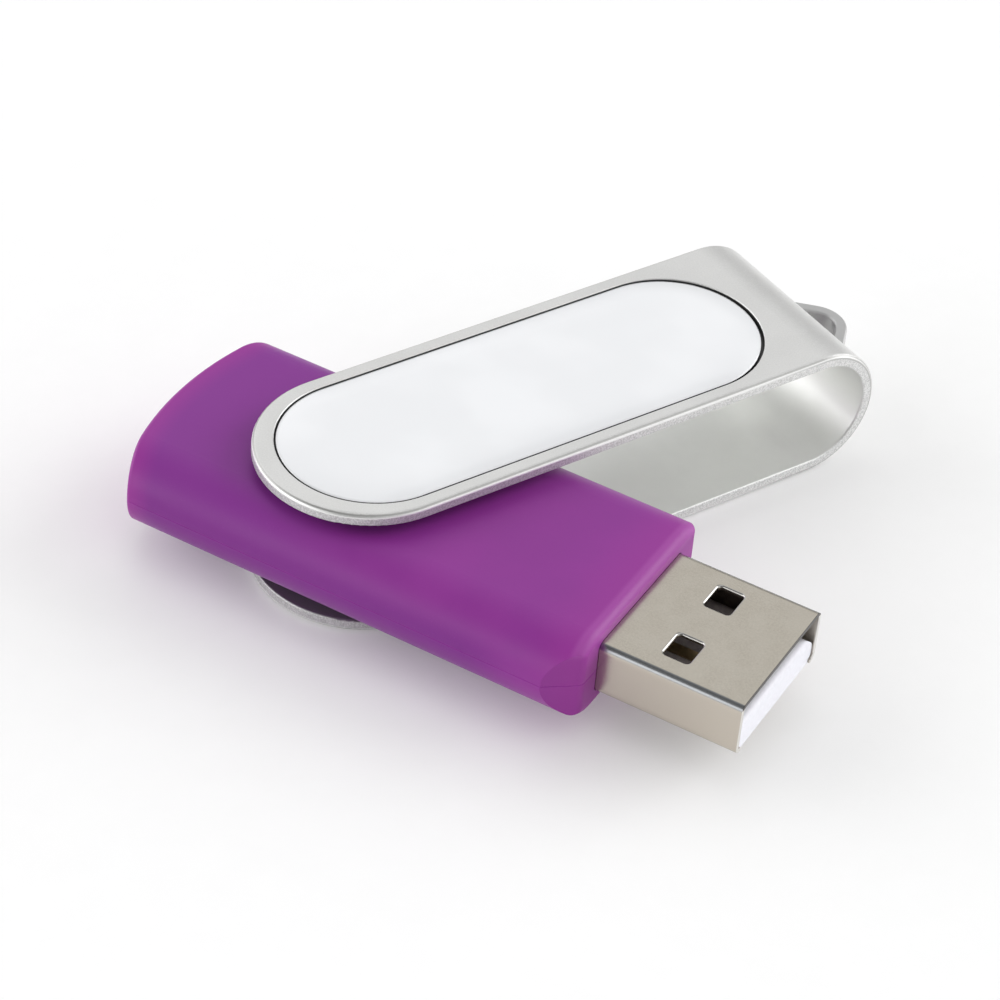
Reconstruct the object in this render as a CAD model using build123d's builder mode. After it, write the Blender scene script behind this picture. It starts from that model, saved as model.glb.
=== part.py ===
from build123d import *
from math import cos, radians, sin, sqrt
import os

# Swivel USB flash drive, in millimetres.
# The origin is on the pivot axis, on the underside of the metal cover, where the drive rests.
# +X points along the body towards the USB plug, and +Z points up.

# ---- driving dimensions ----
COVER_ANGLE = 64.0          # the cover's long axis, turned from +X about the pivot

COVER_HEIGHT = 10.8         # outside height of the U
COVER_WIDTH = 16.3
COVER_SHEET = 1.0
COVER_BEND_X = 35.3         # pivot to the centre of the bend
COVER_EDGE = 0.35           # rounding of the sheet's outer edges
COVER_EDGE_INNER = 0.15
MID = COVER_HEIGHT / 2      # the body's and the plug's middle plane

RECESS_START = 0.5          # recess end centres, measured along the cover from the pivot
RECESS_END = 26.9
RECESS_RADIUS = 7.0
RECESS_DEPTH = 0.5
RECESS_RIM = 0.1            # rounding of the recess's rim
LABEL_RADIUS = 6.87
LABEL_END_GAP = 0.15        # extra gap between the label and the recess at the bend's end
ADHESIVE_THICKNESS = 0.05
ADHESIVE_INSET = 0.1
FILM_THICKNESS = 0.1
DOME_THICKNESS = 0.65
DOME_EDGE = 0.25            # height of the dome's upright edge
DOME_SLOPE = 1.2            # width over which the dome rises from its edge

LOOP_APEX = 43.7            # outermost point of the key loop
LOOP_APEX_RADIUS = 2.6
LOOP_SHEET = 0.9
LOOP_HEIGHT = 2.5
LOOP_EDGE = 0.2
LOOP_WINDOW = 5.4           # width of the window that the loop is pushed out of
LOOP_WINDOW_DEPTH = 4.0     # length of the cut through the bend

BODY_WIDTH = 19.6
BODY_HEIGHT = 7.0
BODY_FRONT = 22.75          # front face
BODY_REAR = -15.75          # middle of the curved rear end
BODY_REAR_RADIUS = 26.5
FRONT_FACE_WIDTH = 16.0
FRONT_TAPER = 2.35          # length over which the sides draw in to the front face
WALL = 1.2
LIP = 0.5                   # width and height of the lip that joins the two shells
LIP_GAP = 0.05
PARTING_CHAMFER = 0.05
FRONT_ROUND = 0.75          # rounding of the front face's edges
REAR_ROUND = 0.35

PIVOT_PAD_RADIUS = 5.5
PIVOT_HOLE_RADIUS = 3.0
PIVOT_GAP = 0.05            # running clearance of the spigots and the pads
PAD_OVERLAP = 0.3           # depth to which the pads run into the body's wall
PIVOT_CHAMFER = 0.15        # on the outer rim of the hole in the lower plate

PLUG_TIP = 33.75
PLUG_LENGTH = 18.75
PLUG_WIDTH = 12.0
PLUG_HEIGHT = 4.5
PLUG_SHEET = 0.3
PLUG_CORNER = 0.6
WINDOW_FROM_TIP = 6.1
WINDOW_SPACING = 6.0
WINDOW_LENGTH = 2.0
WINDOW_WIDTH = 2.45
WINDOW_CORNER = 0.3
WINDOW_RIM = 0.2            # rounding of the windows' rolled rims
NOTCH_WIDTH = 10.6          # notch in the lower sheet that the tongue's front lip fills
NOTCH_LENGTH = 0.6
SEAM_WIDTH = 0.06
TAB_LENGTH = 3.2            # tabs that reach back beside the circuit board
TAB_HEIGHT = 1.7

CONTACT_THICKNESS = 0.25
CONTACT_WIDTH = 1.0
CONTACT_REAR = 12.2
CONTACT_CHAMFER = 0.12
GROOVE_GAP = 0.02           # clearance all round a contact in its groove
BLOCK_FRONT = 21.5          # plastic block that fills the rear of the plug
BLOCK_REAR = 15.2
TONGUE_TOP = -0.05          # top of the tongue, from the middle plane
TONGUE_SETBACK = 0.15       # tip of the shell to the tongue's end
TONGUE_SHOULDER = 1.1       # rounding along the tongue's two upper edges
TONGUE_NOSE = 0.6           # rounding across its front upper edge

BOARD_TOP = -0.27           # from the middle plane
BOARD_THICKNESS = 0.8
BOARD_FRONT = 14.8
BOARD_REAR = -12.8
BOARD_WIDTH = 14.4
BOARD_CORNER = 0.6
POST_RADIUS = 0.55          # posts that hold the board, and the pegs that locate it
PEG_RADIUS = 0.3
PEG_REACH = 0.6             # height of the pegs above the board
PEG_CLEARANCE = 0.4         # left free in the upper post beyond the peg

FIT = 0.05                  # clearance between neighbouring pieces inside the drive
LONG = 100.0                # longer than anything here, for cutting shapes

os.makedirs("parts", exist_ok=True)

# ---- planes ----
turn = radians(COVER_ANGLE)
cover_dir = (cos(turn), sin(turn), 0)
cover_plan = Plane(origin=(0, 0, 0), x_dir=cover_dir, z_dir=(0, 0, 1))
cover_side = Plane(origin=(0, 0, MID), x_dir=cover_dir, z_dir=(sin(turn), -cos(turn), 0))
board_top = MID + BOARD_TOP
board_under = board_top - BOARD_THICKNESS


# ======================================================================
# Body: two moulded shells, cut from one blank
# ======================================================================

PLAN_MARGIN = 0.6           # the outline is drawn this much wide of the body, whose section trims it
REAR_ARC_DEPTH = 2.5        # the rear arc's ends lie less than this ahead of its middle


def body_plan(inset):
    """Outline of the body seen from above, drawn inwards by inset, as a sketch at z = 0."""
    side = BODY_WIDTH / 2 + PLAN_MARGIN
    centre = BODY_REAR + BODY_REAR_RADIUS
    corner = centre - sqrt(BODY_REAR_RADIUS**2 - side**2)
    front_half = FRONT_FACE_WIDTH / 2
    taper = (side - front_half) * FRONT_TAPER / (BODY_WIDTH / 2 - front_half)
    with BuildSketch() as outline:
        with BuildLine():
            ThreePointArc((corner, side), (BODY_REAR, 0), (corner, -side))
            Polyline(
                (corner, -side),
                (BODY_FRONT - taper, -side),
                (BODY_FRONT, -front_half),
                (BODY_FRONT, front_half),
                (BODY_FRONT - taper, side),
                (corner, side),
            )
        make_face()
        if inset:
            offset(amount=-inset, kind=Kind.INTERSECTION)
    return outline.sketch


with BuildPart() as body_blank:
    with BuildSketch(Plane.YZ.offset(BODY_REAR - 1)):
        with Locations((0, MID)):
            SlotOverall(BODY_WIDTH, BODY_HEIGHT)
    extrude(amount=BODY_FRONT - BODY_REAR + 2)
    with BuildSketch(Plane.XY):
        add(body_plan(0))
    extrude(amount=COVER_HEIGHT, mode=Mode.INTERSECT)
    fillet(body_blank.faces().sort_by(Axis.X)[-1].edges(), radius=FRONT_ROUND)
    rear_edges = body_blank.edges().filter_by_position(Axis.X, BODY_REAR - 1, BODY_REAR + REAR_ARC_DEPTH)
    fillet(rear_edges, radius=REAR_ROUND)

with BuildPart() as body_cavity:
    with BuildSketch(Plane.YZ.offset(BODY_REAR)):
        with Locations((0, MID)):
            SlotOverall(BODY_WIDTH - 2 * WALL, BODY_HEIGHT - 2 * WALL)
    extrude(amount=BODY_FRONT - BODY_REAR)
    with BuildSketch(Plane.XY):
        add(body_plan(WALL))
    extrude(amount=COVER_HEIGHT, mode=Mode.INTERSECT)

with BuildPart() as plug_opening:
    with BuildSketch(Plane.YZ.offset(BODY_FRONT - 2 * WALL)):
        with Locations((0, MID)):
            RectangleRounded(PLUG_WIDTH + 2 * FIT, PLUG_HEIGHT + 2 * FIT, PLUG_CORNER + FIT)
    extrude(amount=4 * WALL)


def lip_ring(width, height):
    """Ring around the cavity at the parting plane, for the lip and for the rebate it sits in."""
    with BuildPart() as ring:
        with BuildSketch(Plane.XY.offset(MID)):
            add(body_plan(WALL - width))
            Rectangle(LONG, BODY_WIDTH - 2 * (WALL - width), mode=Mode.INTERSECT)
        extrude(amount=height)
    return ring.part - body_cavity.part


# Posts that hold the circuit board: (x, y) of each one, from the pivot.
post_places = [(-11.6, -6.6), (-11.6, 6.6), (10.6, -6.6), (10.6, 6.6)]
body_top = MID + BODY_HEIGHT / 2
body_under = MID - BODY_HEIGHT / 2

with BuildPart() as upper_shell:
    add(body_blank.part)
    split(bisect_by=Plane.XY.offset(MID), keep=Keep.TOP)
    parting_edges = upper_shell.faces().sort_by(Axis.Z)[0].edges()
    chamfer(parting_edges, length=PARTING_CHAMFER)
    add(body_cavity.part, mode=Mode.SUBTRACT)
    add(lip_ring(LIP + LIP_GAP, LIP + LIP_GAP), mode=Mode.SUBTRACT)
    # posts that press on the board
    with BuildSketch(Plane.XY.offset(board_top + FIT)):
        with Locations(post_places):
            Circle(POST_RADIUS)
    extrude(amount=BODY_HEIGHT / 2 - WALL - BOARD_TOP)
    with BuildSketch(Plane.XY.offset(board_top)):
        with Locations(post_places):
            Circle(PEG_RADIUS + FIT)
    extrude(amount=PEG_REACH + PEG_CLEARANCE, mode=Mode.SUBTRACT)
    add(plug_opening.part, mode=Mode.SUBTRACT)
    # pivot pad that the cover bears on, and the spigot that fills the hole in the cover
    with BuildSketch(Plane.XY.offset(body_top - PAD_OVERLAP)):
        Circle(PIVOT_PAD_RADIUS)
    extrude(amount=COVER_HEIGHT - COVER_SHEET - PIVOT_GAP - body_top + PAD_OVERLAP)
    with BuildSketch(Plane.XY.offset(body_top)):
        Circle(PIVOT_HOLE_RADIUS - PIVOT_GAP)
    extrude(amount=COVER_HEIGHT - RECESS_DEPTH - PIVOT_GAP - body_top)
upper_shell.part.label = "upper_shell"
export_step(upper_shell.part, "parts/upper_shell.step")

with BuildPart() as lower_shell:
    add(body_blank.part)
    split(bisect_by=Plane.XY.offset(MID), keep=Keep.BOTTOM)
    parting_edges = lower_shell.faces().sort_by(Axis.Z)[-1].edges()
    chamfer(parting_edges, length=PARTING_CHAMFER)
    add(body_cavity.part, mode=Mode.SUBTRACT)
    add(lip_ring(LIP, LIP))
    # posts under the board, each with a peg that locates it
    with BuildSketch(Plane.XY.offset(body_under + WALL / 2)):
        with Locations(post_places):
            Circle(POST_RADIUS)
    extrude(amount=board_under - FIT - body_under - WALL / 2)
    with BuildSketch(Plane.XY.offset(board_under - FIT)):
        with Locations(post_places):
            Circle(PEG_RADIUS)
    extrude(amount=BOARD_THICKNESS + FIT + PEG_REACH)
    add(plug_opening.part, mode=Mode.SUBTRACT)
    # pivot pad, and a spigot that ends flush with the cover's underside
    with BuildSketch(Plane.XY.offset(COVER_SHEET + PIVOT_GAP)):
        Circle(PIVOT_PAD_RADIUS)
    extrude(amount=body_under + PAD_OVERLAP - COVER_SHEET - PIVOT_GAP)
    with BuildSketch(Plane.XY):
        Circle(PIVOT_HOLE_RADIUS - PIVOT_GAP)
    extrude(amount=body_under)
lower_shell.part.label = "lower_shell"
export_step(lower_shell.part, "parts/lower_shell.step")


# ======================================================================
# USB plug
# ======================================================================

plug_rear = PLUG_TIP - PLUG_LENGTH
inside_width = PLUG_WIDTH - 2 * PLUG_SHEET
inside_height = PLUG_HEIGHT - 2 * PLUG_SHEET
inside_corner = PLUG_CORNER - PLUG_SHEET

with BuildPart() as plug_shell:
    # folded steel tube
    with BuildSketch(Plane.YZ.offset(plug_rear)):
        with Locations((0, MID)):
            RectangleRounded(PLUG_WIDTH, PLUG_HEIGHT, PLUG_CORNER)
            RectangleRounded(inside_width, inside_height, inside_corner, mode=Mode.SUBTRACT)
    extrude(amount=PLUG_LENGTH)
    # windows through the top and the bottom, with rolled rims
    with BuildSketch(Plane.XY):
        with Locations((PLUG_TIP - WINDOW_FROM_TIP, 0)):
            with GridLocations(1, WINDOW_SPACING, 1, 2):
                RectangleRounded(WINDOW_LENGTH, WINDOW_WIDTH, WINDOW_CORNER)
    extrude(amount=COVER_HEIGHT, mode=Mode.SUBTRACT)
    for face in (plug_shell.faces().sort_by(Axis.Z)[-1], plug_shell.faces().sort_by(Axis.Z)[0]):
        fillet([edge for wire in face.inner_wires() for edge in wire.edges()], radius=WINDOW_RIM)
    # closed seam along the underside, and the notch at its front end
    with Locations((PLUG_TIP, 0, MID - PLUG_HEIGHT / 2)):
        Box(2 * PLUG_LENGTH, SEAM_WIDTH, 3 * PLUG_SHEET, mode=Mode.SUBTRACT)
        Box(2 * NOTCH_LENGTH, NOTCH_WIDTH, 3 * PLUG_SHEET, mode=Mode.SUBTRACT)
    # tabs that reach back into slots in the board's sides
    with Locations((plug_rear - TAB_LENGTH / 2, 0, board_top - BOARD_THICKNESS / 2)):
        with GridLocations(1, PLUG_WIDTH - PLUG_SHEET, 1, 2):
            Box(TAB_LENGTH, PLUG_SHEET, TAB_HEIGHT)
plug_shell.part.label = "plug_shell"
export_step(plug_shell.part, "parts/plug_shell.step")

# (name, y, distance of the front end from the tip) of each contact
contacts = [
    ("contact_power", -3.5, 1.7),
    ("contact_data_minus", -1.0, 2.7),
    ("contact_data_plus", 1.0, 2.7),
    ("contact_ground", 3.5, 1.7),
]

tongue_front = PLUG_TIP - TONGUE_SETBACK
tongue_top = MID + TONGUE_TOP
tongue_width = inside_width - 2 * FIT
tongue_under = MID - inside_height / 2 + FIT

with BuildPart() as plug_tongue:
    # tongue in the lower half of the mouth, rounded along its upper edges
    with BuildSketch(Plane.YZ.offset(BLOCK_REAR)) as section:
        with Locations((0, (tongue_under + tongue_top) / 2)):
            Rectangle(tongue_width, tongue_top - tongue_under)
        fillet(section.vertices().group_by(Axis.Y)[-1], radius=TONGUE_SHOULDER)
        fillet(section.vertices().group_by(Axis.Y)[0], radius=inside_corner)
    extrude(amount=tongue_front - BLOCK_REAR)
    # and rounded across its nose
    with BuildSketch(Plane.XZ) as profile:
        with Locations((tongue_front, tongue_top)):
            Rectangle(LONG, PLUG_HEIGHT, align=(Align.MAX, Align.MAX))
        fillet(profile.vertices().group_by(Axis.X)[-1].sort_by(Axis.Y)[-1], radius=TONGUE_NOSE)
    extrude(amount=PLUG_WIDTH, both=True, mode=Mode.INTERSECT)
    # front lip that fills the notch in the lower sheet
    with Locations((tongue_front, 0, MID - PLUG_HEIGHT / 2)):
        Box(
            NOTCH_LENGTH - FIT - TONGUE_SETBACK,
            NOTCH_WIDTH - 2 * FIT,
            2 * PLUG_SHEET,
            align=(Align.MAX, Align.CENTER, Align.MIN),
        )
    # block that fills the rear of the shell
    with BuildSketch(Plane.YZ.offset(BLOCK_REAR)):
        with Locations((0, MID)):
            RectangleRounded(tongue_width, inside_height - 2 * FIT, inside_corner)
    extrude(amount=BLOCK_FRONT - BLOCK_REAR)
    # grooves for the contacts, along the tongue and through the block
    for _, y, from_tip in contacts:
        groove_front = PLUG_TIP - from_tip + FIT
        with Locations((groove_front, y, MID - CONTACT_THICKNESS - GROOVE_GAP)):
            Box(
                groove_front - BLOCK_REAR,
                CONTACT_WIDTH + 2 * GROOVE_GAP,
                CONTACT_THICKNESS + 2 * GROOVE_GAP,
                align=(Align.MAX, Align.CENTER, Align.MIN),
                mode=Mode.SUBTRACT,
            )
plug_tongue.part.label = "plug_tongue"
export_step(plug_tongue.part, "parts/plug_tongue.step")

for label, y, from_tip in contacts:
    contact_length = PLUG_TIP - from_tip - CONTACT_REAR
    with BuildPart() as contact:
        with Locations((CONTACT_REAR + contact_length / 2, y, MID - CONTACT_THICKNESS / 2)):
            Box(contact_length, CONTACT_WIDTH, CONTACT_THICKNESS)
        front_top = contact.edges().filter_by(Axis.Y).sort_by(Axis.X)[-2:].sort_by(Axis.Z)[-1]
        chamfer(front_top, length=CONTACT_CHAMFER)
    contact.part.label = label
    export_step(contact.part, f"parts/{label}.step")


# ======================================================================
# Circuit board and what is soldered to it
# ======================================================================

with BuildPart() as circuit_board:
    with BuildSketch(Plane.XY.offset(board_under)):
        with Locations(((BOARD_FRONT + BOARD_REAR) / 2, 0)):
            RectangleRounded(BOARD_FRONT - BOARD_REAR, BOARD_WIDTH, BOARD_CORNER)
        # slots for the plug's tabs
        with Locations((plug_rear, 0)):
            with GridLocations(1, PLUG_WIDTH - PLUG_SHEET, 1, 2):
                Rectangle(2 * TAB_LENGTH + 2 * FIT, PLUG_SHEET + 2 * FIT, mode=Mode.SUBTRACT)
        # peg holes
        with Locations(post_places):
            Circle(PEG_RADIUS + FIT, mode=Mode.SUBTRACT)
    extrude(amount=BOARD_THICKNESS)
circuit_board.part.label = "circuit_board"
export_step(circuit_board.part, "parts/circuit_board.step")


LEAD_THICKNESS = 0.12
LEAD_WIDTH = 0.22
LEAD_PITCH = 0.5


def gull_lead(reach, rise):
    """One bent lead: it leaves the package at height rise and ends reach away, flat on the board."""
    thick = LEAD_THICKNESS
    foot = reach / 2
    with BuildPart() as lead:
        with BuildSketch(Plane.XZ):
            Polygon(
                (0, rise + thick),
                (0, rise),
                (reach - foot - thick, rise),
                (reach - foot - thick, 0),
                (reach, 0),
                (reach, thick),
                (reach - foot, thick),
                (reach - foot, rise + thick),
                align=None,
            )
        extrude(amount=LEAD_WIDTH / 2, both=True)
    return lead.part


STANDOFF = 0.1              # gap between a package and the board
PACKAGE_CHAMFER = 0.1
PIN_MARK_DEPTH = 0.1

MEMORY_LENGTH = 18.4
MEMORY_WIDTH = 12.0
MEMORY_HEIGHT = 1.0
MEMORY_X = -0.2
MEMORY_LEADS = 24
MEMORY_MARK_RADIUS = 0.6
MEMORY_MARK_INSET = 1.6

with BuildPart() as flash_memory:
    with BuildSketch(Plane.XY.offset(board_top + STANDOFF)):
        with Locations((MEMORY_X, 0)):
            Rectangle(MEMORY_LENGTH, MEMORY_WIDTH)
    extrude(amount=MEMORY_HEIGHT)
    chamfer(flash_memory.edges().group_by(Axis.Z)[-1], length=PACKAGE_CHAMFER)
    # round mark at pin 1
    corner_x = MEMORY_X - MEMORY_LENGTH / 2 + MEMORY_MARK_INSET
    corner_y = -MEMORY_WIDTH / 2 + MEMORY_MARK_INSET
    with BuildSketch(Plane.XY.offset(board_top + STANDOFF + MEMORY_HEIGHT)):
        with Locations((corner_x, corner_y)):
            Circle(MEMORY_MARK_RADIUS)
    extrude(amount=-PIN_MARK_DEPTH, mode=Mode.SUBTRACT)
flash_memory.part.label = "flash_memory"
export_step(flash_memory.part, "parts/flash_memory.step")

memory_lead = gull_lead(reach=0.75, rise=0.5)
with BuildPart() as flash_memory_leads:
    with Locations((MEMORY_X + MEMORY_LENGTH / 2, 0, board_top)):
        with GridLocations(1, LEAD_PITCH, 1, MEMORY_LEADS):
            add(memory_lead)
    with Locations(Location((MEMORY_X - MEMORY_LENGTH / 2, 0, board_top), (0, 0, 180))):
        with GridLocations(1, LEAD_PITCH, 1, MEMORY_LEADS):
            add(memory_lead)
flash_memory_leads.part.label = "flash_memory_leads"
export_step(flash_memory_leads.part, "parts/flash_memory_leads.step")

CONTROLLER_SIZE = 7.0
CONTROLLER_HEIGHT = 0.95
CONTROLLER_X = -3.0
CONTROLLER_LEADS = 12
CONTROLLER_MARK_RADIUS = 0.35
CONTROLLER_MARK_INSET = 1.0
under_board = Plane(origin=(0, 0, board_under), x_dir=(1, 0, 0), z_dir=(0, 0, -1))
under_controller = Plane(origin=(CONTROLLER_X, 0, board_under), x_dir=(1, 0, 0), z_dir=(0, 0, -1))

with BuildPart() as controller_chip:
    with BuildSketch(under_controller.offset(STANDOFF)):
        Rectangle(CONTROLLER_SIZE, CONTROLLER_SIZE)
    extrude(amount=CONTROLLER_HEIGHT)
    chamfer(controller_chip.edges().group_by(Axis.Z)[0], length=PACKAGE_CHAMFER)
    mark_place = CONTROLLER_MARK_INSET - CONTROLLER_SIZE / 2
    with BuildSketch(under_controller.offset(STANDOFF + CONTROLLER_HEIGHT)):
        with Locations((mark_place, mark_place)):
            Circle(CONTROLLER_MARK_RADIUS)
    extrude(amount=-PIN_MARK_DEPTH, mode=Mode.SUBTRACT)
controller_chip.part.label = "controller_chip"
export_step(controller_chip.part, "parts/controller_chip.step")

controller_lead = gull_lead(reach=0.9, rise=0.45)
with BuildPart() as controller_leads:
    with Locations(under_controller.location):
        for quarter in range(4):
            with Locations(Location((0, 0, 0), (0, 0, 90 * quarter))):
                with Locations((CONTROLLER_SIZE / 2, 0)):
                    with GridLocations(1, LEAD_PITCH, 1, CONTROLLER_LEADS):
                        add(controller_lead)
controller_leads.part.label = "controller_leads"
export_step(controller_leads.part, "parts/controller_leads.step")

CRYSTAL_X = 5.4
CRYSTAL_LENGTH = 2.5
CRYSTAL_WIDTH = 3.2
CRYSTAL_HEIGHT = 0.75
CRYSTAL_CORNER = 0.3
CRYSTAL_ROUND = 0.1

with BuildPart() as crystal:
    with BuildSketch(under_board):
        with Locations((CRYSTAL_X, 0)):
            RectangleRounded(CRYSTAL_LENGTH, CRYSTAL_WIDTH, CRYSTAL_CORNER)
    extrude(amount=CRYSTAL_HEIGHT)
    fillet(crystal.edges().group_by(Axis.Z)[0], radius=CRYSTAL_ROUND)
crystal.part.label = "crystal"
export_step(crystal.part, "parts/crystal.step")

# Small two-ended chips on the board's underside: (length, width, height) of each size
SMALL_CHIP = (1.0, 0.5, 0.5)
FLAT_CHIP = (1.0, 0.5, 0.35)
LARGE_CHIP = (1.6, 0.8, 0.8)
CHIP_ROUND = 0.05


def chip_group(places, size):
    """Chips of one size at these (x, y) places under the board, with slightly rounded edges."""
    length, width, height = size
    with BuildPart() as group:
        for x, y in places:
            with BuildSketch(under_board):
                with Locations((x, y)):
                    Rectangle(length, width)
            extrude(amount=height)
        fillet(group.edges(), radius=CHIP_ROUND)
    return group


crystal_capacitors = chip_group([(CRYSTAL_X, -3.2), (CRYSTAL_X, 3.2)], SMALL_CHIP)
crystal_capacitors.part.label = "crystal_capacitors"
export_step(crystal_capacitors.part, "parts/crystal_capacitors.step")

supply_places = [(8.6, -4.0), (8.6, -1.4), (8.6, 1.4), (-10.0, -2.5), (-10.0, 2.5)]
supply_capacitors = chip_group(supply_places, LARGE_CHIP)
supply_capacitors.part.label = "supply_capacitors"
export_step(supply_capacitors.part, "parts/supply_capacitors.step")

resistor_places = [(11.0, -2.2), (11.0, 0.0), (11.0, 2.2), (-10.0, 0.0)]
resistors = chip_group(resistor_places, FLAT_CHIP)
resistors.part.label = "resistors"
export_step(resistors.part, "parts/resistors.step")

ferrite_bead = chip_group([(8.6, 4.0)], LARGE_CHIP)
ferrite_bead.part.label = "ferrite_bead"
export_step(ferrite_bead.part, "parts/ferrite_bead.step")

# Solder: a wedge behind each contact's tail and one beside each tab
SOLDER_GAP = 0.06           # between the solder and the tab beside it
CONTACT_SOLDER = (0.5, 0.22)    # length and height of a wedge
TAB_SOLDER = (0.5, 0.35)
TAB_SOLDER_LENGTH = 2.0

with BuildPart() as plug_solder:
    length, height = CONTACT_SOLDER
    for _, y, _ in contacts:
        with BuildSketch(Plane.XZ.offset(-y)):
            Polygon(
                (CONTACT_REAR - length, board_top),
                (CONTACT_REAR, board_top),
                (CONTACT_REAR, board_top + height),
                align=None,
            )
        extrude(amount=CONTACT_WIDTH / 2, both=True)
    width, height = TAB_SOLDER
    for side in (-1, 1):
        start = PLUG_WIDTH / 2 + SOLDER_GAP
        with BuildSketch(Plane.YZ.offset(CONTACT_REAR)):
            Polygon(
                (side * start, board_top),
                (side * (start + width), board_top),
                (side * start, board_top + height),
                align=None,
            )
        extrude(amount=TAB_SOLDER_LENGTH)
plug_solder.part.label = "plug_solder"
export_step(plug_solder.part, "parts/plug_solder.step")


# ======================================================================
# Metal cover
# ======================================================================

def recess_plan(radius, end_gap=0.0):
    """Long rounded outline about the recess's two end centres, shorter by end_gap at the bend's end."""
    far_centre = RECESS_END - end_gap
    with BuildSketch() as outline:
        with Locations(((RECESS_START + far_centre) / 2, 0)):
            SlotCenterToCenter(far_centre - RECESS_START, 2 * radius)
    return outline.sketch


def loop_plan(apex_radius):
    """Plan of the key loop out to a surface that runs apex_radius from the apex's centre."""
    centre = LOOP_APEX - LOOP_APEX_RADIUS
    root = COVER_BEND_X + MID - COVER_SHEET / 2
    half = apex_radius * sin(radians(45))
    half_root = centre + apex_radius * sqrt(2) - root
    with BuildSketch() as outline:
        with BuildLine():
            Polyline((centre + half, -half), (root, -half_root), (root, half_root), (centre + half, half))
            ThreePointArc((centre + half, half), (centre + apex_radius, 0), (centre + half, -half))
        make_face()
    return outline.sketch


def in_cover(point):
    """The point in the cover's own frame: along it from the pivot, across it, and up from the middle."""
    local = cover_plan.to_local_coords(Vector(*point))
    return local.X, local.Y, local.Z - MID


def profile_radius(point):
    """Distance of a point from the bend's axis, or from the middle plane along the straight plates."""
    along, _, up = in_cover(point)
    return sqrt(max(along - COVER_BEND_X, 0) ** 2 + up**2)


def on_outer_skin(edge):
    return all(abs(profile_radius(edge @ t) - MID) < 0.01 for t in (0.5, 0.1))


def on_inner_skin(edge):
    inside = MID - COVER_SHEET
    return all(abs(profile_radius(edge @ t) - inside) < 0.01 for t in (0.5, 0.1))


def on_loop_rim(edge):
    along, _, up = in_cover(edge @ 0.5)
    return along > COVER_BEND_X + MID and abs(abs(up) - LOOP_HEIGHT / 2) < 0.01


def in_recess(edge):
    along, across, _ = in_cover(edge @ 0.5)
    reach = RECESS_RADIUS + 0.01
    return abs(across) < reach and RECESS_START - reach < along < RECESS_END + reach


with BuildPart() as swivel_clip:
    # one sheet bent into a U
    outer = MID
    inner = MID - COVER_SHEET
    rear_end = -COVER_WIDTH / 2 - 1
    with BuildSketch(cover_side):
        with BuildLine():
            Line((rear_end, outer), (COVER_BEND_X, outer))
            CenterArc((COVER_BEND_X, 0), outer, 90, -180)
            Line((COVER_BEND_X, -outer), (rear_end, -outer))
            Line((rear_end, -outer), (rear_end, -inner))
            Line((rear_end, -inner), (COVER_BEND_X, -inner))
            CenterArc((COVER_BEND_X, 0), inner, -90, 180)
            Line((COVER_BEND_X, inner), (rear_end, inner))
            Line((rear_end, inner), (rear_end, outer))
        make_face()
    extrude(amount=COVER_WIDTH / 2, both=True)
    # the free ends are half round about the pivot
    with BuildSketch(cover_plan):
        Circle(COVER_WIDTH / 2)
        Rectangle(LONG, COVER_WIDTH, align=(Align.MIN, Align.CENTER))
    extrude(amount=COVER_HEIGHT, mode=Mode.INTERSECT)
    # rounded rims: every edge between a flat or bent face and the sheet's own edge
    fillet(swivel_clip.edges().filter_by(on_outer_skin), radius=COVER_EDGE)
    fillet(swivel_clip.edges().filter_by(on_inner_skin), radius=COVER_EDGE_INNER)
    # window that the key loop is pushed out of
    with BuildSketch(cover_plan.offset(MID - LOOP_HEIGHT / 2)):
        with Locations((COVER_BEND_X + outer - COVER_SHEET, 0)):
            Rectangle(LOOP_WINDOW_DEPTH, LOOP_WINDOW)
    extrude(amount=LOOP_HEIGHT, mode=Mode.SUBTRACT)
    # recess for the label
    with BuildSketch(cover_plan.offset(COVER_HEIGHT - RECESS_DEPTH)):
        add(recess_plan(RECESS_RADIUS))
    extrude(amount=RECESS_DEPTH + 1, mode=Mode.SUBTRACT)
    recess_rim = swivel_clip.edges().group_by(Axis.Z)[-1].filter_by(in_recess)
    fillet(recess_rim, radius=RECESS_RIM)
    # pivot holes through both plates
    with BuildSketch(cover_plan):
        Circle(PIVOT_HOLE_RADIUS)
    extrude(amount=COVER_HEIGHT, mode=Mode.SUBTRACT)
    pivot_rim = swivel_clip.edges().filter_by(GeomType.CIRCLE).group_by(Axis.Z)[0]
    chamfer(pivot_rim, length=PIVOT_CHAMFER)
swivel_clip.part.label = "swivel_clip"
export_step(swivel_clip.part, "parts/swivel_clip.step")

with BuildPart() as ring_loop:
    # two legs at 45 degrees that stand on the bend and meet in a round apex
    with BuildSketch(cover_plan.offset(MID - LOOP_HEIGHT / 2)):
        add(loop_plan(LOOP_APEX_RADIUS))
        add(loop_plan(LOOP_APEX_RADIUS - LOOP_SHEET), mode=Mode.SUBTRACT)
    extrude(amount=LOOP_HEIGHT)
    fillet(ring_loop.edges().filter_by(on_loop_rim), radius=LOOP_EDGE)
    add(swivel_clip.part, mode=Mode.SUBTRACT)
ring_loop.part.label = "ring_loop"
export_step(ring_loop.part, "parts/ring_loop.step")


# ======================================================================
# Label in the recess
# ======================================================================

floor_z = COVER_HEIGHT - RECESS_DEPTH

with BuildPart() as label_adhesive:
    with BuildSketch(cover_plan.offset(floor_z)):
        add(recess_plan(LABEL_RADIUS - ADHESIVE_INSET, LABEL_END_GAP))
    extrude(amount=ADHESIVE_THICKNESS)
label_adhesive.part.label = "label_adhesive"
export_step(label_adhesive.part, "parts/label_adhesive.step")

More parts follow.
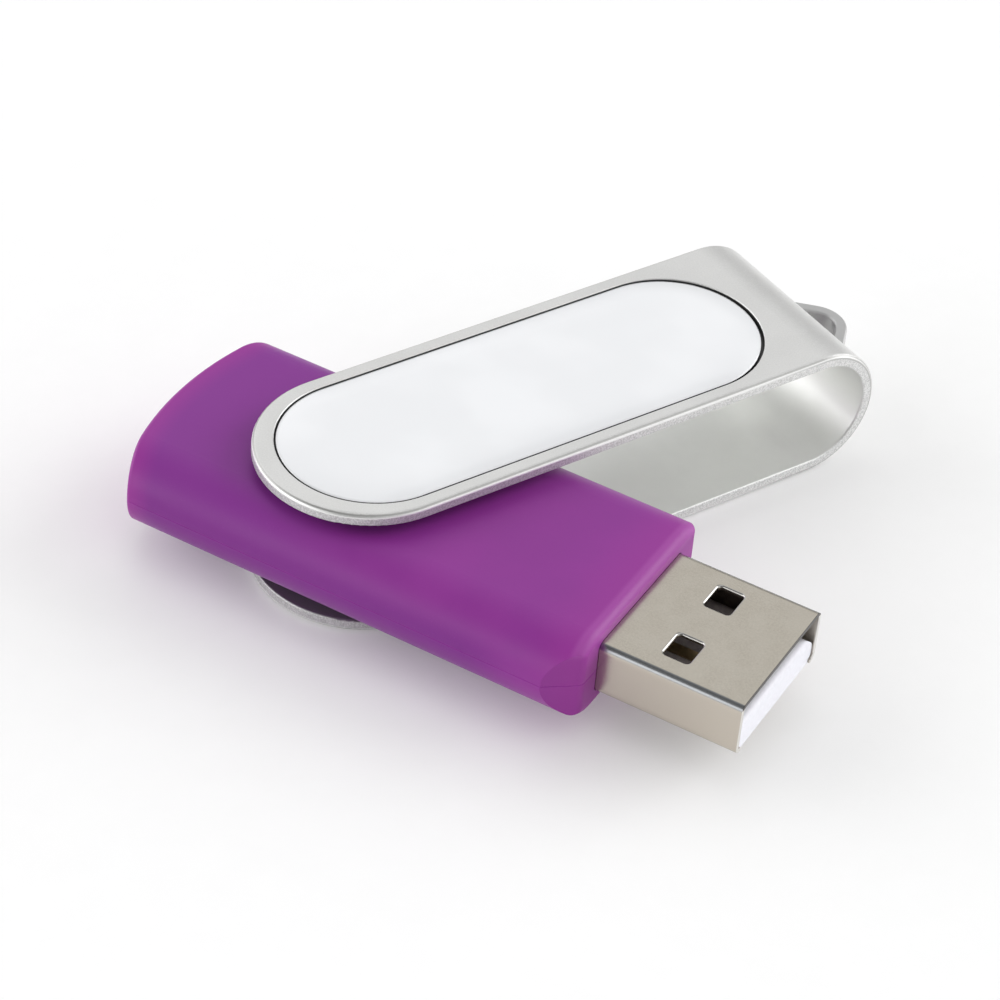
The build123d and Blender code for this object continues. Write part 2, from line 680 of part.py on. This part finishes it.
with BuildPart() as label_film:
    with BuildSketch(cover_plan.offset(floor_z + ADHESIVE_THICKNESS)):
        add(recess_plan(LABEL_RADIUS, LABEL_END_GAP))
    extrude(amount=FILM_THICKNESS)
label_film.part.label = "label_film"
export_step(label_film.part, "parts/label_film.step")

with BuildPart() as label_dome:
    dome_base = floor_z + ADHESIVE_THICKNESS + FILM_THICKNESS
    with BuildSketch(cover_plan.offset(dome_base)):
        add(recess_plan(LABEL_RADIUS, LABEL_END_GAP))
    extrude(amount=DOME_THICKNESS)
    dome_rim = label_dome.edges().group_by(Axis.Z)[-1]
    chamfer(dome_rim, length=DOME_THICKNESS - DOME_EDGE, length2=DOME_SLOPE)
label_dome.part.label = "label_dome"
export_step(label_dome.part, "parts/label_dome.step")
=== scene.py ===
from math import cos, radians, sin

import bmesh
import bpy
from mathutils import Matrix, Vector


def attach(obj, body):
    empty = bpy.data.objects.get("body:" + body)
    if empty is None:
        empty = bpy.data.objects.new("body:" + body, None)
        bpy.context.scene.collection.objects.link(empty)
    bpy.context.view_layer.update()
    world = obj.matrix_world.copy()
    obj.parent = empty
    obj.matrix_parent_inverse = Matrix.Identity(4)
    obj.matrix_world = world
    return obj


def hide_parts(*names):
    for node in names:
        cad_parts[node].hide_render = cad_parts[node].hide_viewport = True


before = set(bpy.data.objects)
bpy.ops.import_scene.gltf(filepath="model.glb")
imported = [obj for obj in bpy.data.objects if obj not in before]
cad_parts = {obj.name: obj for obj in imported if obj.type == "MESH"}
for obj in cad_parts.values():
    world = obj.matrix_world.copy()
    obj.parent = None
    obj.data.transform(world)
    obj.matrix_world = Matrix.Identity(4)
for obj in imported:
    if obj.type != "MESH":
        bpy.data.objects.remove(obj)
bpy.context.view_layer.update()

MM = 0.001

# Sizes of the CAD model that the finishes and the extra pieces follow, in millimetres and degrees.
# MID is the height of the plane that halves the body, the plug and the cover.
COVER_ANGLE = 64.0
MID = 5.4
COVER_HALF_WIDTH = 8.15
COVER_BEND_START = 35.3
RECESS_START = 0.5
RECESS_END = 26.9
RECESS_RADIUS = 7.0
LABEL_END = 26.75
LABEL_RADIUS = 6.87
LABEL_BASE = 10.45
LABEL_EDGE = 0.25
LABEL_TOP = 11.1
PLUG_TIP = 33.75
PLUG_TOP = MID + 2.25
PLUG_SIDE = 6.0
PLUG_WINDOW_REACH = 5.2
BODY_REAR = -15.75
BODY_REAR_RADIUS = 26.5
BODY_FRONT = 22.75

# Shape of the gel label's swell.
SWELL_WIDTH = 2.6
SWELL_STEPS = 14
SWELL_POWER = 2.2
RIM_SOFTENING = 0.02
RIM_BREAK = 0.05
TURN_STEPS = 40

# Studio. The floor lies a hair under the cover, in metres, so that the two faces never coincide.
FLOOR_Z = -0.00003
FLOOR_HALF_SIDE = 1.5
FLOOR_GLOW = 0.13
BASE_LEVEL = 0.78
CAMERA_PLACE = (0.09079, -0.15390, 0.15454)
CAMERA_TARGET = (0.00811, 0.00574, 0.0054)
CAMERA_ROLL = 4.964
CAMERA_LENS = 116.0


# ----------------------------------------------------------------------
# Node helpers
# ----------------------------------------------------------------------

class Nodes:
    """A node tree, with short calls to add nodes and to link or set their inputs."""

    def __init__(self, node_tree):
        self.nodes = node_tree.nodes
        self.links = node_tree.links

    def add(self, kind, inputs=(), **settings):
        node = self.nodes.new(kind)
        for name, value in settings.items():
            setattr(node, name, value)
        for key, value in dict(inputs).items():
            self.feed(node.inputs[key], value)
        return node

    def feed(self, socket, value):
        if isinstance(value, bpy.types.NodeSocket):
            self.links.new(value, socket)
        else:
            socket.default_value = value

    def math(self, operation, a, b=0.0, c=0.0):
        return self.add("ShaderNodeMath", {0: a, 1: b, 2: c}, operation=operation).outputs[0]


class Tree(Nodes):
    """A new material's node tree, with the patterns, masks and mixes that the materials share."""

    def __init__(self, name):
        self.material = bpy.data.materials.new(name)
        self.material.use_nodes = True
        super().__init__(self.material.node_tree)
        self.shader = self.nodes["Principled BSDF"]

    def set(self, **values):
        for name, value in values.items():
            self.feed(self.shader.inputs[name.replace("_", " ")], value)

    def place(self):
        """The piece's own coordinates, in metres, which ride with it."""
        return self.add("ShaderNodeTexCoord").outputs["Object"]

    def noise(self, size_mm, detail=3.0, roughness=0.5):
        """Noise whose features are about size_mm wide."""
        node = self.add("ShaderNodeTexNoise", {"Vector": self.place(), "Scale": 1.0 / (size_mm * MM)})
        self.feed(node.inputs["Detail"], detail)
        self.feed(node.inputs["Roughness"], roughness)
        return node.outputs["Fac"]

    def product(self, first, *others):
        """All the factors multiplied, for a mask that needs several conditions or less strength."""
        for other in others:
            first = self.math("MULTIPLY", first, other)
        return first

    def span(self, value, low, high, to_low=0.0, to_high=1.0):
        """Maps low..high to to_low..to_high, smoothly and without going past either end."""
        node = self.add(
            "ShaderNodeMapRange",
            {"Value": value, "From Min": low, "From Max": high, "To Min": to_low, "To Max": to_high},
            interpolation_type="SMOOTHSTEP",
        )
        return node.outputs["Result"]

    def place_mm(self):
        """The piece's x, y and z in millimetres, as three sockets."""
        scaled = self.add("ShaderNodeVectorMath", {0: self.place(), "Scale": 1.0 / MM}, operation="SCALE")
        return self.add("ShaderNodeSeparateXYZ", {0: scaled.outputs[0]}).outputs

    def length(self, a, b):
        return self.math("SQRT", self.math("MULTIPLY_ADD", a, a, self.math("MULTIPLY", b, b)))

    def past(self, value, limit):
        """How far value goes above limit, and 0 below it."""
        return self.math("MAXIMUM", self.math("SUBTRACT", value, limit), 0.0)

    def short_of(self, value, limit):
        """How far value stays below limit, as a negative number, and 0 above it."""
        return self.math("MINIMUM", self.math("SUBTRACT", value, limit), 0.0)

    def in_cover(self):
        """Along the cover from the pivot, across it, and up from its middle plane, in millimetres."""
        x, y, z = self.place_mm()
        turn = radians(COVER_ANGLE)
        along = self.math("MULTIPLY_ADD", x, cos(turn), self.math("MULTIPLY", y, sin(turn)))
        across = self.math("MULTIPLY_ADD", y, cos(turn), self.math("MULTIPLY", x, -sin(turn)))
        return along, across, self.math("SUBTRACT", z, MID)

    def blend(self, factor, a, b):
        node = self.add("ShaderNodeMix", data_type="RGBA")
        self.feed(node.inputs["Factor"], factor)
        self.feed(node.inputs["A"], a)
        self.feed(node.inputs["B"], b)
        return node.outputs["Result"]

    def bump(self, *layers):
        """Bump from (height, depth in mm) layers, each on top of the one before."""
        normal = None
        for height, depth_mm in layers:
            inputs = {"Height": height, "Distance": depth_mm * MM, "Strength": 1.0}
            if normal is not None:
                inputs["Normal"] = normal
            normal = self.add("ShaderNodeBump", inputs).outputs["Normal"]
        self.set(Normal=normal)


def colour(red, green, blue):
    return (red, green, blue, 1.0)


def dress(material, *names):
    """Gives CAD nodes this material and no other."""
    for name in names:
        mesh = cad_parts[name].data
        mesh.materials.clear()
        mesh.materials.append(material)


# ----------------------------------------------------------------------
# Materials. Distances in them are in millimetres, and each pair is where a change starts
# and where it is full.
# ----------------------------------------------------------------------

PLUM = colour(0.248, 0.026, 0.270)
PLUM_LIGHT = colour(0.266, 0.029, 0.284)
# Painted shade: a darker, bluer purple over the rear half.
PLUM_REAR_PAINTED_SHADE = colour(0.226, 0.026, 0.270)
# Painted shade: darker and bluer low on the sides.
PLUM_PAINTED_LOW_SHADE = colour(0.205, 0.019, 0.245)
# Painted sheen: lighter and redder at the ends.
PLUM_PAINTED_END_SHEEN = colour(0.310, 0.028, 0.290)
# Painted highlight along the front top ridge.
PLUM_PAINTED_RIDGE_HIGHLIGHT = colour(0.42, 0.10, 0.41)
PLUM_SPECK = colour(0.33, 0.05, 0.36)
# Painted highlight: a lighter line along the parting seam.
PLUM_PAINTED_SEAM_HIGHLIGHT = colour(0.42, 0.06, 0.46)


def soft_plastic():
    """Purple soft-touch moulding: dull and finely textured. Painted shade makes it darker and bluer low
    on the sides and over the rear half, a painted sheen lightens and reddens its ends, and painted
    highlights run along the front ridge and the seam.
    """
    t = Tree("purple_soft_touch")
    cloud = t.noise(6.0, detail=4.0)
    grain = t.noise(0.12, detail=2.0)
    x, y, z = t.place_mm()
    from_rear_centre = t.length(t.math("SUBTRACT", x, BODY_REAR + BODY_REAR_RADIUS), y)
    above_mid = t.math("SUBTRACT", z, MID)
    behind_front = t.math("SUBTRACT", BODY_FRONT, x)

    # Painted shade over the rear half.
    rear_painted_shade = t.span(x, 10.0, -6.0)
    # Painted shade low on the sides, away from the front.
    low = t.product(t.span(above_mid, 2.8, 0.4), t.span(behind_front, 3.5, 9.0))
    # Painted sheen at the rear end and towards the front.
    rear_end = t.span(from_rear_centre, BODY_REAR_RADIUS - 2.2, BODY_REAR_RADIUS)
    ends_painted_sheen = t.math("MAXIMUM", t.product(rear_end, 0.9), t.product(t.span(behind_front, 5.0, 0.0), 0.6))
    # Painted highlight along the front top ridge.
    ridge_painted_highlight = t.product(t.span(behind_front, 1.1, 0.6), t.span(above_mid, 2.2, 3.0))
    # Painted highlight along the parting seam.
    seam_painted_highlight = t.span(t.math("ABSOLUTE", above_mid), 0.12, 0.05)

    base = t.blend(t.span(cloud, 0.35, 0.65), PLUM, PLUM_LIGHT)
    # The painted shade, sheen and highlights are laid over the tone from here on.
    base = t.blend(rear_painted_shade, base, PLUM_REAR_PAINTED_SHADE)
    base = t.blend(low, base, PLUM_PAINTED_LOW_SHADE)
    base = t.blend(ends_painted_sheen, base, PLUM_PAINTED_END_SHEEN)
    base = t.blend(t.product(ridge_painted_highlight, 0.45), base, PLUM_PAINTED_RIDGE_HIGHLIGHT)
    base = t.blend(t.span(grain, 0.62, 0.75, 0.0, 0.15), base, PLUM_SPECK)
    base = t.blend(t.product(seam_painted_highlight, 0.2), base, PLUM_PAINTED_SEAM_HIGHLIGHT)
    t.set(Base_Color=base, Roughness=t.span(cloud, 0.3, 0.7, 0.40, 0.46))
    t.set(Specular_IOR_Level=0.28, Sheen_Weight=0.04, Sheen_Roughness=0.5)
    t.bump((grain, 0.002), (t.noise(1.5, detail=2.0), 0.004))
    return t.material


SATIN_DARK = colour(0.70, 0.70, 0.69)
SATIN = colour(0.74, 0.74, 0.73)
SATIN_BRIGHT_SPECK = colour(0.88, 0.88, 0.87)
SATIN_DARK_SPECK = colour(0.58, 0.58, 0.57)
# Painted light: the inside is lighter than the outside, as if lit.
INNER_PAINTED_LIT_DARK = colour(0.785, 0.795, 0.77)
INNER_PAINTED_LIT = colour(0.825, 0.835, 0.81)
# Painted shade on the inside where it lies under the body.
INNER_PAINTED_SHADE_UNDER_BODY = colour(0.36, 0.36, 0.36)
LOOP_GREY = colour(0.46, 0.46, 0.46)
CUT_DARK = colour(0.50, 0.50, 0.495)
CUT = colour(0.70, 0.70, 0.695)
# Painted light: the cut edge at the bend is lighter.
BENT_CUT_PAINTED_LIT_DARK = colour(0.62, 0.62, 0.615)
BENT_CUT_PAINTED_LIT = colour(0.86, 0.86, 0.855)
# Painted highlight on the corner above the cut edge.
CORNER_PAINTED_HIGHLIGHT = colour(0.84, 0.84, 0.83)
# At the bend the corner's painted highlight is dimmed to a darker grey.
BENT_CORNER_PAINTED_DIM_HIGHLIGHT = colour(0.48, 0.48, 0.47)
# Painted dark reflection on the roll beside the corner.
ROLL_PAINTED_DARK_REFLECTION = colour(0.28, 0.28, 0.27)
# Painted shade in the recess gap round the label.
RECESS_PAINTED_SHADE = colour(0.05, 0.05, 0.05)


def satin_metal():
    """Blasted metal sheet. Its coarse cut edges lie below a painted highlight on the corner and a thin
    painted dark reflection on the roll; at the bend the cut edge is painted lighter and the corner's
    highlight dimmed.
    The recess is painted with shade around the label, and the inside is painted lighter, as lit, with
    painted shade where it lies under the body."""
    t = Tree("satin_cover_metal")
    grain = t.noise(0.12, detail=3.0, roughness=0.8)
    coarse = t.noise(0.14, detail=4.0, roughness=0.75)
    cloud = t.noise(5.0, detail=3.0)
    clouded = t.span(cloud, 0.3, 0.7)
    speckled = t.span(coarse, 0.40, 0.60)

    along, across, up = t.in_cover()
    from_edge = t.math("SUBTRACT", COVER_HALF_WIDTH, t.length(t.math("MINIMUM", along, 0.0), across))
    from_middle = t.length(t.past(along, COVER_BEND_START), up)
    depth = t.math("SUBTRACT", MID, from_middle)
    cut_edge = t.span(from_edge, 0.06, 0.01)
    # Painted highlight along the corner above the cut edge.
    corner_painted_highlight = t.product(cut_edge, t.span(depth, 0.36, 0.28))
    # Painted dark reflection on the roll beside the corner.
    rolled_painted_reflection = t.product(t.span(from_edge, 0.24, 0.14), t.span(from_edge, 0.06, 0.10))
    rolled_painted_reflection = t.product(rolled_painted_reflection, t.span(depth, 0.45, 0.35))
    at_bend = t.span(along, COVER_BEND_START - 8.0, COVER_BEND_START + 2.0)
    inside = t.span(depth, 0.45, 0.65)
    # Painted shade on the inside under the body.
    under_body_painted_shade = t.span(t.length(along, across), COVER_HALF_WIDTH + 6.0, COVER_HALF_WIDTH)
    on_loop = t.span(from_middle, MID + 0.1, MID + 0.5)
    past_ends = t.math("ADD", t.past(along, RECESS_END), t.short_of(along, RECESS_START))
    from_recess = t.length(past_ends, across)
    # Painted shade in the recess gap round the label; the metal is made non-metallic there too.
    recess_painted_shade = t.product(
        t.span(from_recess, RECESS_RADIUS + 0.03, RECESS_RADIUS),
        t.span(depth, 0.06, 0.16),
        t.math("GREATER_THAN", up, 0.0),
        t.span(depth, 0.75, 0.65),
    )

    base = t.blend(clouded, SATIN_DARK, SATIN)
    base = t.blend(t.span(grain, 0.50, 0.75, 0.0, 0.5), base, SATIN_BRIGHT_SPECK)
    base = t.blend(t.span(grain, 0.50, 0.28, 0.0, 0.4), base, SATIN_DARK_SPECK)
    # The inside is painted lighter, as lit, and darker with painted shade under the body.
    inner = t.blend(clouded, INNER_PAINTED_LIT_DARK, INNER_PAINTED_LIT)
    base = t.blend(inside, base, t.blend(under_body_painted_shade, inner, INNER_PAINTED_SHADE_UNDER_BODY))
    base = t.blend(t.product(on_loop, t.span(cloud, 0.3, 0.7, 0.8, 1.0)), base, LOOP_GREY)
    cut = t.blend(speckled, CUT_DARK, CUT)
    # At the bend the cut edge is painted lighter.
    bent_cut_painted_lit = t.blend(speckled, BENT_CUT_PAINTED_LIT_DARK, BENT_CUT_PAINTED_LIT)
    base = t.blend(cut_edge, base, t.blend(t.span(along, 0.0, COVER_BEND_START), cut, bent_cut_painted_lit))
    # Painted corner highlight, dimmed at the bend.
    base = t.blend(corner_painted_highlight, base, t.blend(at_bend, CORNER_PAINTED_HIGHLIGHT, BENT_CORNER_PAINTED_DIM_HIGHLIGHT))
    # Painted dark reflection on the roll.
    base = t.blend(t.product(rolled_painted_reflection, 0.75), base, ROLL_PAINTED_DARK_REFLECTION)
    # Painted shade in the recess gap.
    base = t.blend(recess_painted_shade, base, RECESS_PAINTED_SHADE)

    roughness = t.math("MULTIPLY_ADD", cut_edge, 0.08, t.span(grain, 0.3, 0.7, 0.38, 0.46))
    roughness = t.math("MULTIPLY_ADD", corner_painted_highlight, -0.15, roughness)
    t.set(Base_Color=base, Roughness=roughness, Metallic=t.span(recess_painted_shade, 0.0, 1.0, 0.72, 0.0))
    t.bump((grain, 0.002), (cloud, 0.004), (t.product(cut_edge, coarse), 0.006))
    return t.material


NICKEL_DARK = colour(0.435, 0.405, 0.345)
NICKEL = colour(0.49, 0.455, 0.395)
NICKEL_CLOUD = colour(0.53, 0.50, 0.44)
NICKEL_WALL = colour(0.46, 0.45, 0.43)
# Painted light: lighter sides.
NICKEL_PAINTED_LIT_SIDE = colour(0.57, 0.52, 0.45)
# Painted reflection: greyer along the folds, in place of a brighter highlight.
NICKEL_FOLD_PAINTED_REFLECTION = colour(0.30, 0.31, 0.32)
# Painted light on the mouth's cut edge, and painted shade along its top.
NICKEL_MOUTH_PAINTED_LIGHT = colour(0.80, 0.78, 0.74)
NICKEL_TOP_LIP_PAINTED_SHADE = colour(0.05, 0.045, 0.04)


def plug_steel():
    """Nickel-plated steel of the plug's shell: satin, with a faint mottle, painted light on its sides and
    a painted grey reflection along its folds. The cut edge round its mouth is painted pale, as lit, and
    dark with painted shade along the top."""
    t = Tree("plug_nickel_steel")
    mottle = t.noise(0.16, detail=4.0, roughness=0.7)
    cloud = t.noise(1.6, detail=3.0)
    x, y, z = t.place_mm()
    below_top = t.math("SUBTRACT", PLUG_TOP, z)
    from_tip = t.math("SUBTRACT", PLUG_TIP, x)
    from_mid = t.math("ABSOLUTE", y)
    from_side = t.math("SUBTRACT", PLUG_SIDE, from_mid)
    window_wall = t.product(
        t.span(below_top, 0.002, 0.012),
        t.math("LESS_THAN", from_mid, PLUG_WINDOW_REACH),
        t.span(from_tip, 1.0, 1.2),
        t.span(below_top, 0.28, 0.24),
    )
    # Painted grey reflection along the folds.
    fold_painted_reflection = t.product(t.span(from_side, 0.42, 0.32), t.span(below_top, 0.50, 0.34))
    at_mouth = t.span(from_tip, 0.06, 0.02)

    base = t.blend(t.span(mottle, 0.30, 0.70), NICKEL_DARK, NICKEL)
    base = t.blend(t.span(cloud, 0.35, 0.70, 0.0, 0.3), base, NICKEL_CLOUD)
    base = t.blend(window_wall, base, NICKEL_WALL)
    # Painted light on the sides.
    base = t.blend(t.span(from_side, 0.10, 0.02), base, NICKEL_PAINTED_LIT_SIDE)
    # Painted grey reflection on the folds.
    base = t.blend(fold_painted_reflection, base, NICKEL_FOLD_PAINTED_REFLECTION)
    # Painted light on the mouth's cut edge, and painted shade along its top.
    base = t.blend(at_mouth, base, NICKEL_MOUTH_PAINTED_LIGHT)
    base = t.blend(t.product(at_mouth, t.span(below_top, 0.40, 0.32)), base, NICKEL_TOP_LIP_PAINTED_SHADE)
    t.set(Base_Color=base, Metallic=1.0, Roughness=t.span(mottle, 0.3, 0.7, 0.22, 0.27))
    t.bump((mottle, 0.0003), (cloud, 0.003))
    return t.material


def tongue_plastic():
    """White moulding at the mouth of the plug; the part behind it is dark."""
    t = Tree("plug_white_plastic")
    grain = t.noise(0.3, detail=4.0)
    grained = t.span(grain, 0.35, 0.65)
    white = t.blend(grained, colour(0.80, 0.80, 0.86), colour(0.84, 0.84, 0.90))
    dark = t.blend(grained, colour(0.27, 0.23, 0.24), colour(0.34, 0.30, 0.30))
    x = t.place_mm()[0]
    t.set(Base_Color=t.blend(t.span(x, PLUG_TIP - 3.2, PLUG_TIP - 2.7), dark, white))
    t.set(Roughness=t.span(grain, 0.3, 0.7, 0.32, 0.42))
    t.bump((grain, 0.003))
    return t.material


def simple_plastic(name, light, dark, roughness, size_mm=0.4):
    """Grained plastic, resin or ceramic of a small inner piece."""
    t = Tree(name)
    grain = t.noise(size_mm, detail=4.0)
    t.set(Base_Color=t.blend(t.span(grain, 0.35, 0.65), dark, light))
    t.set(Roughness=t.span(grain, 0.3, 0.7, roughness, roughness + 0.12))
    t.bump((grain, 0.004))
    return t.material


def simple_metal(name, light, dark, roughness):
    """Grained metal of a small inner piece."""
    t = Tree(name)
    grain = t.noise(0.3, detail=4.0)
    t.set(Base_Color=t.blend(t.span(grain, 0.35, 0.65), dark, light), Metallic=1.0)
    t.set(Roughness=t.span(grain, 0.3, 0.7, roughness, roughness + 0.15))
    t.bump((grain, 0.003))
    return t.material


def gel_white():
    """Glossy white gel with a thin painted dark shade line along its rim."""
    t = Tree("white_gel_label")
    cloud = t.noise(8.0, detail=2.0)
    base = t.blend(t.span(cloud, 0.35, 0.65), colour(0.84, 0.85, 0.87), colour(0.88, 0.89, 0.91))
    along, across = t.in_cover()[:2]
    past_ends = t.math("ADD", t.past(along, LABEL_END), t.short_of(along, RECESS_START))
    from_spine = t.length(past_ends, across)
    # Painted shade: a thin dark line along the rim.
    rim_painted_shade = t.span(from_spine, LABEL_RADIUS - 0.04, LABEL_RADIUS - 0.01)
    base = t.blend(rim_painted_shade, base, colour(0.03, 0.03, 0.032))
    t.set(Base_Color=base, Roughness=t.span(cloud, 0.3, 0.7, 0.06, 0.10))
    t.set(Specular_IOR_Level=t.span(rim_painted_shade, 0.0, 1.0, 0.5, 0.1), Coat_Weight=t.span(rim_painted_shade, 0.0, 1.0, 0.5, 0.0))
    t.set(Coat_Roughness=0.03)
    t.bump((cloud, 0.004))
    return t.material


dress(soft_plastic(), "upper_shell", "lower_shell")
dress(satin_metal(), "swivel_clip", "ring_loop")
dress(plug_steel(), "plug_shell")
dress(tongue_plastic(), "plug_tongue")
dress(
    simple_metal("contact_gold", colour(0.60, 0.46, 0.26), colour(0.55, 0.42, 0.23), 0.30),
    "contact_power", "contact_data_minus", "contact_data_plus", "contact_ground",
)
dress(
    simple_plastic("board_solder_mask", colour(0.03, 0.20, 0.08), colour(0.02, 0.15, 0.06), 0.25, 0.8),
    "circuit_board",
)
dress(
    simple_plastic("package_epoxy", colour(0.030, 0.030, 0.032), colour(0.020, 0.020, 0.022), 0.5, 0.15),
    "flash_memory", "controller_chip",
)
dress(
    simple_metal("tinned_leads", colour(0.72, 0.72, 0.73), colour(0.60, 0.60, 0.62), 0.25),
    "flash_memory_leads", "controller_leads", "crystal", "plug_solder",
)
dress(
    simple_plastic("capacitor_ceramic", colour(0.50, 0.37, 0.24), colour(0.42, 0.30, 0.19), 0.45, 0.2),
    "crystal_capacitors", "supply_capacitors",
)
dress(
    simple_plastic("resistor_glaze", colour(0.035, 0.035, 0.04), colour(0.02, 0.02, 0.025), 0.3, 0.2),
    "resistors", "ferrite_bead",
)
# The film and glue under the gel are painted near black, as painted shade in the gap round the label.
dress(
    simple_plastic("label_film_painted_shade", colour(0.06, 0.06, 0.06), colour(0.04, 0.04, 0.04), 0.3, 2.0),
    "label_film",
)
dress(
    simple_plastic("label_adhesive_painted_shade", colour(0.05, 0.05, 0.05), colour(0.03, 0.03, 0.03), 0.4, 0.5),
    "label_adhesive",
)


# ----------------------------------------------------------------------
# Gel label: the CAD's chamfered dome, with the smooth swell of real poured gel
# ----------------------------------------------------------------------

def label_ring(bm, inset, height):
    """One closed ring of the label's long rounded outline, drawn inwards by inset."""
    radius = LABEL_RADIUS - inset
    ring = []
    for centre, first in ((LABEL_END, -90.0), (RECESS_START, 90.0)):
        for step in range(TURN_STEPS + 1):
            angle = radians(first + 180.0 * step / TURN_STEPS)
            point = Vector((centre + radius * cos(angle), radius * sin(angle), height))
            point = Matrix.Rotation(radians(COVER_ANGLE), 3, "Z") @ point
            ring.append(bm.verts.new(point * MM))
    return ring


def label_profile():
    """The label's section from its foot to its flat middle, as (inset, height) pairs."""
    upright = LABEL_BASE + LABEL_EDGE
    profile = [(0.0, LABEL_BASE), (0.0, upright - RIM_BREAK), (RIM_SOFTENING, upright)]
    for step in range(1, SWELL_STEPS + 1):
        part = step / SWELL_STEPS
        rise = (LABEL_TOP - upright) * (1 - (1 - part) ** SWELL_POWER)
        profile.append((RIM_SOFTENING + SWELL_WIDTH * part, upright + rise))
    return profile


def make_gel_label():
    bm = bmesh.new()
    rings = [label_ring(bm, inset, height) for inset, height in label_profile()]
    for lower, upper in zip(rings, rings[1:]):
        for i in range(len(lower)):
            j = (i + 1) % len(lower)
            bm.faces.new((lower[i], lower[j], upper[j], upper[i]))
    bm.faces.new(rings[-1])
    bm.faces.new(list(reversed(rings[0])))
    for face in bm.faces:
        face.smooth = len(face.verts) == 4
    mesh = bpy.data.meshes.new("gel_label")
    bm.to_mesh(mesh)
    bm.free()
    mesh.materials.append(gel_white())
    label = bpy.data.objects.new("gel_label", mesh)
    bpy.context.scene.collection.objects.link(label)
    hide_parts("label_dome")
    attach(label, "cover")


make_gel_label()


# ----------------------------------------------------------------------
# Studio: floor, lights and camera
# ----------------------------------------------------------------------

def matte_floor():
    """Dull white paper, with a faint glow that keeps it pale away from the object."""
    t = Tree("floor_paper")
    grain = t.noise(3.0, detail=5.0)
    t.set(Base_Color=t.blend(grain, colour(0.85, 0.85, 0.85), colour(0.88, 0.88, 0.88)))
    t.set(Roughness=0.9, Specular_IOR_Level=0.1)
    t.set(Emission_Color=colour(1.0, 1.0, 1.0), Emission_Strength=FLOOR_GLOW)
    t.bump((grain, 0.01))
    return t.material


def make_floor():
    mesh = bpy.data.meshes.new("floor")
    turns = ((-1, -1), (1, -1), (1, 1), (-1, 1))
    corners = [(x * FLOOR_HALF_SIDE, y * FLOOR_HALF_SIDE, FLOOR_Z) for x, y in turns]
    mesh.from_pydata(corners, [], [(0, 1, 2, 3)])
    mesh.materials.append(matte_floor())
    floor = bpy.data.objects.new("floor", mesh)
    bpy.context.scene.collection.objects.link(floor)


# Broad lighter and darker patches of the surround, for the metal to reflect:
# (direction, cosine where it fades out, cosine where it is full, amount added).
PATCHES = [
    ((0.0, 0.3, 1.0), 0.0, 0.9, 0.22),
    ((0.98, 0.05, 0.12), 0.94, 0.99, 0.8),
    ((0.64, 0.68, 0.35), 0.86, 0.99, 3.0),
    ((-0.35, -0.25, 0.9), 0.93, 0.985, -0.5),
    ((0.2, 0.42, 0.88), 0.92, 0.985, -0.7),
    ((-0.2, 1.0, 0.0), 0.80, 0.97, -0.55),
    ((-0.9, -0.38, 0.02), 0.62, 0.94, 2.2),
    ((-0.36, -0.90, 0.22), 0.935, 0.985, 2.0),
    ((-0.1, -1.0, 0.1), 0.1, 0.85, -0.62),
]


def make_world():
    """White surround with the patches above."""
    world = bpy.data.worlds.new("studio")
    world.use_nodes = True
    t = Nodes(world.node_tree)
    ray = t.add("ShaderNodeTexCoord").outputs["Generated"]
    level = BASE_LEVEL
    for direction, outer, inner, amount in PATCHES:
        towards = Vector(direction).normalized()
        cosine = t.add("ShaderNodeVectorMath", {0: ray, 1: towards}, operation="DOT_PRODUCT")
        fade = t.add(
            "ShaderNodeMapRange",
            {"Value": cosine.outputs["Value"], "From Min": outer, "From Max": inner, "To Max": amount},
            interpolation_type="SMOOTHERSTEP",
        )
        level = t.math("ADD", fade.outputs["Result"], level)
    background = t.nodes["Background"]
    t.feed(background.inputs["Color"], colour(1.0, 1.0, 1.0))
    t.feed(background.inputs["Strength"], level)
    bpy.context.scene.world = world


def make_camera():
    """Camera above the body's near side, looking down at the middle of the object."""
    place = Vector(CAMERA_PLACE)
    target = Vector(CAMERA_TARGET)
    roll = radians(CAMERA_ROLL)
    data = bpy.data.cameras.new("camera")
    data.sensor_width = 36.0
    data.lens = CAMERA_LENS
    data.clip_start = 0.01
    camera = bpy.data.objects.new("camera", data)
    look = (place - target).to_track_quat("Z", "Y").to_matrix().to_4x4()
    camera.matrix_world = Matrix.Translation(place) @ look @ Matrix.Rotation(roll, 4, "Z")
    bpy.context.scene.collection.objects.link(camera)
    bpy.context.scene.camera = camera


make_floor()
make_world()
make_camera()
bpy.context.scene.view_settings.view_transform = "Standard"
